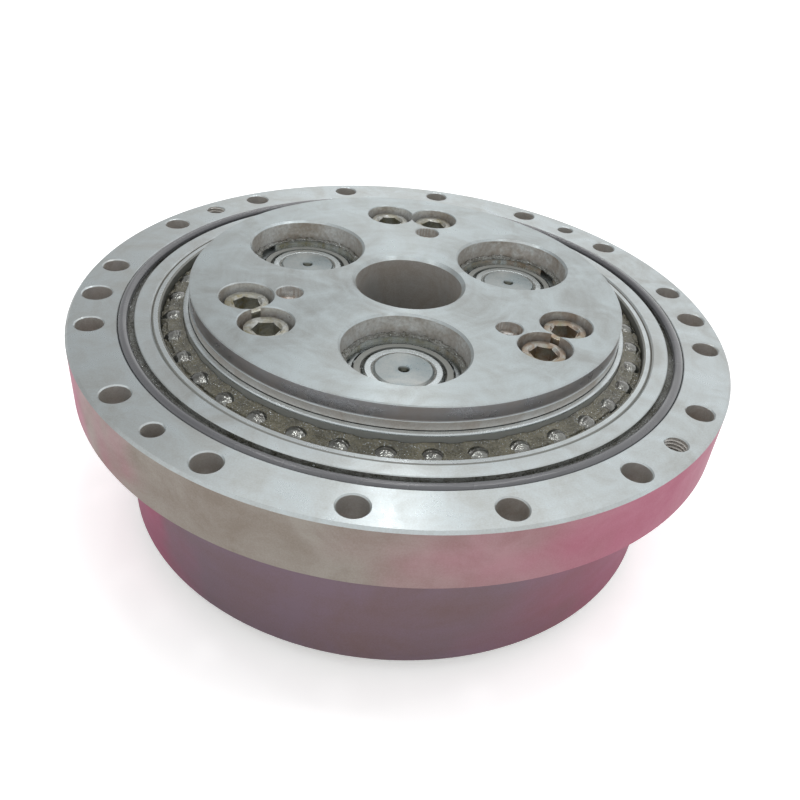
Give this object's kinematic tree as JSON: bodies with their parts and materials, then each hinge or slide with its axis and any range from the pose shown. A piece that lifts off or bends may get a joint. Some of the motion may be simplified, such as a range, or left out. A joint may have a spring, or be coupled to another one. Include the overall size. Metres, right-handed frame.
{
  "type": "cycloidal reducer",
  "caption": "Flanged two-stage cycloidal reducer: lobed discs on eccentric cranks turn a hollow carrier on angular ball bearings, with a ring of flange holes.",
  "frame": {"origin": "centre of the output face, at the bottom of the reducer", "axes": "+Z along the output axis, from the output face towards the hold flange on the input side; +X through a flange bolt hole"},
  "size_m": [0.28, 0.28, 0.108],
  "materials": {
    "case": "fine turned",
    "hold_flange": "fine turned",
    "output_shaft": "turned",
    "bearing_race": "ground",
    "bearing_ball": "polished",
    "bearing_cage": "oiled, pressed",
    "seal_rubber": "smooth",
    "screw_steel": "oiled, blackened",
    "pin_steel": "ground, oiled",
    "crank_steel": "ground",
    "gear_steel": "hobbed, oiled",
    "disc_steel": "ground, oiled",
    "clip_steel": "blackened spring steel",
    "roller_steel": "ground"
  },
  "bodies": {
    "case": {"case": "case", "ring_pins": "roller_steel", "upper_outer_race": "bearing_race", "lower_outer_race": "bearing_race", "flange_o_ring": "seal_rubber", "output_seal": "seal_rubber"},
    "carrier": {"hold_flange": "hold_flange", "output_shaft": "output_shaft", "carrier_screws": "screw_steel", "carrier_pins": "pin_steel", "upper_inner_race": "bearing_race", "lower_inner_race": "bearing_race", "upper_cups": "bearing_race", "lower_cups": "bearing_race", "cup_circlips": "clip_steel"},
    "upper_ball_set": {"upper_balls": "bearing_ball", "upper_ball_cage": "bearing_cage"},
    "lower_ball_set": {"lower_balls": "bearing_ball", "lower_ball_cage": "bearing_cage"},
    "crank_1": {"crankshaft_1": "crank_steel", "spur_gear_1": "gear_steel", "gear_circlip_1": "clip_steel", "bearing_cones_1": "bearing_race", "taper_rollers_1": "roller_steel", "taper_cages_1": "bearing_cage", "needle_rollers_1": "roller_steel", "needle_cages_1": "bearing_cage"},
    "crank_2": {"crankshaft_2": "crank_steel", "spur_gear_2": "gear_steel", "gear_circlip_2": "clip_steel", "bearing_cones_2": "bearing_race", "taper_rollers_2": "roller_steel", "taper_cages_2": "bearing_cage", "needle_rollers_2": "roller_steel", "needle_cages_2": "bearing_cage"},
    "crank_3": {"crankshaft_3": "crank_steel", "spur_gear_3": "gear_steel", "gear_circlip_3": "clip_steel", "bearing_cones_3": "bearing_race", "taper_rollers_3": "roller_steel", "taper_cages_3": "bearing_cage", "needle_rollers_3": "roller_steel", "needle_cages_3": "bearing_cage"},
    "upper_disc": {"upper_disc": "disc_steel"},
    "lower_disc": {"lower_disc": "disc_steel"}
  },
  "joints": [
    {"name": "output_spin", "type": "hinge", "parent": "case", "child": "carrier", "pos_m": [0, 0, 0.0575], "axis": [0, 0, 1], "continuous": true},
    {"name": "crank_1_spin", "type": "hinge", "parent": "carrier", "child": "crank_1", "pos_m": [0.04369, 0.03174, 0.0575], "axis": [0, 0, 1], "continuous": true},
    {"name": "crank_2_spin", "type": "hinge", "parent": "carrier", "child": "crank_2", "pos_m": [-0.04933, 0.02196, 0.0575], "axis": [0, 0, 1], "continuous": true},
    {"name": "crank_3_spin", "type": "hinge", "parent": "carrier", "child": "crank_3", "pos_m": [0.00564, -0.0537, 0.0575], "axis": [0, 0, 1], "continuous": true},
    {"name": "upper_disc_turn", "type": "hinge", "parent": "crank_1", "child": "upper_disc", "pos_m": [0.04569, 0.03174, 0.0675], "axis": [0, 0, 1], "continuous": true},
    {"name": "lower_disc_turn", "type": "hinge", "parent": "crank_1", "child": "lower_disc", "pos_m": [0.04169, 0.03174, 0.0475], "axis": [0, 0, 1], "continuous": true},
    {"name": "upper_balls_orbit", "type": "hinge", "parent": "case", "child": "upper_ball_set", "pos_m": [0, 0, 0.0875], "axis": [0, 0, 1], "continuous": true},
    {"name": "lower_balls_orbit", "type": "hinge", "parent": "case", "child": "lower_ball_set", "pos_m": [0, 0, 0.0275], "axis": [0, 0, 1], "continuous": true}
  ],
  "couplings": [
    {"joint": "output_spin", "follows": "crank_1_spin", "ratio": -0.025},
    {"joint": "crank_2_spin", "follows": "crank_1_spin", "ratio": 1},
    {"joint": "crank_3_spin", "follows": "crank_1_spin", "ratio": 1},
    {"joint": "upper_disc_turn", "follows": "crank_1_spin", "ratio": -1},
    {"joint": "lower_disc_turn", "follows": "crank_1_spin", "ratio": -1},
    {"joint": "upper_balls_orbit", "follows": "crank_1_spin", "ratio": -0.012},
    {"joint": "lower_balls_orbit", "follows": "crank_1_spin", "ratio": -0.012}
  ]
}
